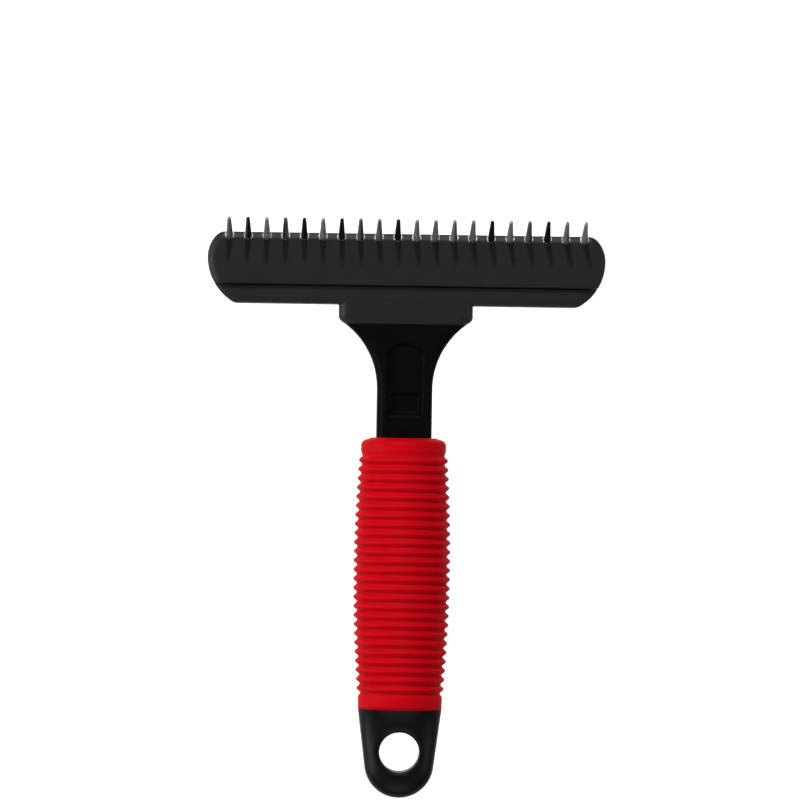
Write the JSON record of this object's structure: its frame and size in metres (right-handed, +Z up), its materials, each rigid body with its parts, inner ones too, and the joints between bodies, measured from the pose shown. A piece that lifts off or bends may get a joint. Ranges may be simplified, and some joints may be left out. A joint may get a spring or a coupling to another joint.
{
  "type": "undercoat rake",
  "caption": "T-shaped undercoat rake for pets: a row of steel teeth that turn freely in a black head, with a ribbed red grip and a hang hole.",
  "frame": {"origin": "under the middle of the whole object, on the surface that its back lies on", "axes": "+X across the head, +Y along the handle from the hang hole towards the teeth, +Z up out of the front face"},
  "size_m": [0.0996, 0.1446, 0.0246],
  "materials": {
    "black_plastic": "satin moulded",
    "tail_plastic": "fine matt moulded",
    "red_rubber": "soft satin",
    "tooth_steel": "polished and plated",
    "bright_plating": "bright plated"
  },
  "bodies": {
    "rake": {"handle_frame": "black_plastic", "head_cover": "black_plastic", "pin_retainer": "black_plastic", "pin_bushes": "bright_plating", "grip_sleeve": "red_rubber", "tail_cap": "tail_plastic"},
    "tooth_01": {"tooth_01": "tooth_steel"},
    "tooth_02": {"tooth_02": "tooth_steel"},
    "tooth_03": {"tooth_03": "tooth_steel"},
    "tooth_04": {"tooth_04": "tooth_steel"},
    "tooth_05": {"tooth_05": "tooth_steel"},
    "tooth_06": {"tooth_06": "tooth_steel"},
    "tooth_07": {"tooth_07": "tooth_steel"},
    "tooth_08": {"tooth_08": "tooth_steel"},
    "tooth_09": {"tooth_09": "tooth_steel"},
    "tooth_10": {"tooth_10": "tooth_steel"},
    "tooth_11": {"tooth_11": "tooth_steel"},
    "tooth_12": {"tooth_12": "tooth_steel"},
    "tooth_13": {"tooth_13": "tooth_steel"},
    "tooth_14": {"tooth_14": "tooth_steel"},
    "tooth_15": {"tooth_15": "tooth_steel"},
    "tooth_16": {"tooth_16": "tooth_steel"},
    "tooth_17": {"tooth_17": "tooth_steel"},
    "tooth_18": {"tooth_18": "tooth_steel"},
    "tooth_19": {"tooth_19": "tooth_steel"},
    "tooth_20": {"tooth_20": "tooth_steel"}
  },
  "joints": [
    {"name": "tooth_01_spin", "type": "hinge", "parent": "rake", "child": "tooth_01", "pos_m": [-0.04437, 0.068, 0.01499], "axis": [0, 0.3907, 0.9205], "continuous": true},
    {"name": "tooth_02_spin", "type": "hinge", "parent": "rake", "child": "tooth_02", "pos_m": [-0.0397, 0.068, 0.01499], "axis": [0, 0.3907, 0.9205], "continuous": true},
    {"name": "tooth_03_spin", "type": "hinge", "parent": "rake", "child": "tooth_03", "pos_m": [-0.03503, 0.068, 0.01499], "axis": [0, 0.3907, 0.9205], "continuous": true},
    {"name": "tooth_04_spin", "type": "hinge", "parent": "rake", "child": "tooth_04", "pos_m": [-0.03036, 0.068, 0.01499], "axis": [0, 0.3907, 0.9205], "continuous": true},
    {"name": "tooth_05_spin", "type": "hinge", "parent": "rake", "child": "tooth_05", "pos_m": [-0.02568, 0.068, 0.01499], "axis": [0, 0.3907, 0.9205], "continuous": true},
    {"name": "tooth_06_spin", "type": "hinge", "parent": "rake", "child": "tooth_06", "pos_m": [-0.02101, 0.068, 0.01499], "axis": [0, 0.3907, 0.9205], "continuous": true},
    {"name": "tooth_07_spin", "type": "hinge", "parent": "rake", "child": "tooth_07", "pos_m": [-0.01634, 0.068, 0.01499], "axis": [0, 0.3907, 0.9205], "continuous": true},
    {"name": "tooth_08_spin", "type": "hinge", "parent": "rake", "child": "tooth_08", "pos_m": [-0.01167, 0.068, 0.01499], "axis": [0, 0.3907, 0.9205], "continuous": true},
    {"name": "tooth_09_spin", "type": "hinge", "parent": "rake", "child": "tooth_09", "pos_m": [-0.007, 0.068, 0.01499], "axis": [0, 0.3907, 0.9205], "continuous": true},
    {"name": "tooth_10_spin", "type": "hinge", "parent": "rake", "child": "tooth_10", "pos_m": [-0.00233, 0.068, 0.01499], "axis": [0, 0.3907, 0.9205], "continuous": true},
    {"name": "tooth_11_spin", "type": "hinge", "parent": "rake", "child": "tooth_11", "pos_m": [0.00233, 0.068, 0.01499], "axis": [0, 0.3907, 0.9205], "continuous": true},
    {"name": "tooth_12_spin", "type": "hinge", "parent": "rake", "child": "tooth_12", "pos_m": [0.007, 0.068, 0.01499], "axis": [0, 0.3907, 0.9205], "continuous": true},
    {"name": "tooth_13_spin", "type": "hinge", "parent": "rake", "child": "tooth_13", "pos_m": [0.01167, 0.068, 0.01499], "axis": [0, 0.3907, 0.9205], "continuous": true},
    {"name": "tooth_14_spin", "type": "hinge", "parent": "rake", "child": "tooth_14", "pos_m": [0.01634, 0.068, 0.01499], "axis": [0, 0.3907, 0.9205], "continuous": true},
    {"name": "tooth_15_spin", "type": "hinge", "parent": "rake", "child": "tooth_15", "pos_m": [0.02101, 0.068, 0.01499], "axis": [0, 0.3907, 0.9205], "continuous": true},
    {"name": "tooth_16_spin", "type": "hinge", "parent": "rake", "child": "tooth_16", "pos_m": [0.02568, 0.068, 0.01499], "axis": [0, 0.3907, 0.9205], "continuous": true},
    {"name": "tooth_17_spin", "type": "hinge", "parent": "rake", "child": "tooth_17", "pos_m": [0.03036, 0.068, 0.01499], "axis": [0, 0.3907, 0.9205], "continuous": true},
    {"name": "tooth_18_spin", "type": "hinge", "parent": "rake", "child": "tooth_18", "pos_m": [0.03503, 0.068, 0.01499], "axis": [0, 0.3907, 0.9205], "continuous": true},
    {"name": "tooth_19_spin", "type": "hinge", "parent": "rake", "child": "tooth_19", "pos_m": [0.0397, 0.068, 0.01499], "axis": [0, 0.3907, 0.9205], "continuous": true},
    {"name": "tooth_20_spin", "type": "hinge", "parent": "rake", "child": "tooth_20", "pos_m": [0.04437, 0.068, 0.01499], "axis": [0, 0.3907, 0.9205], "continuous": true}
  ]
}
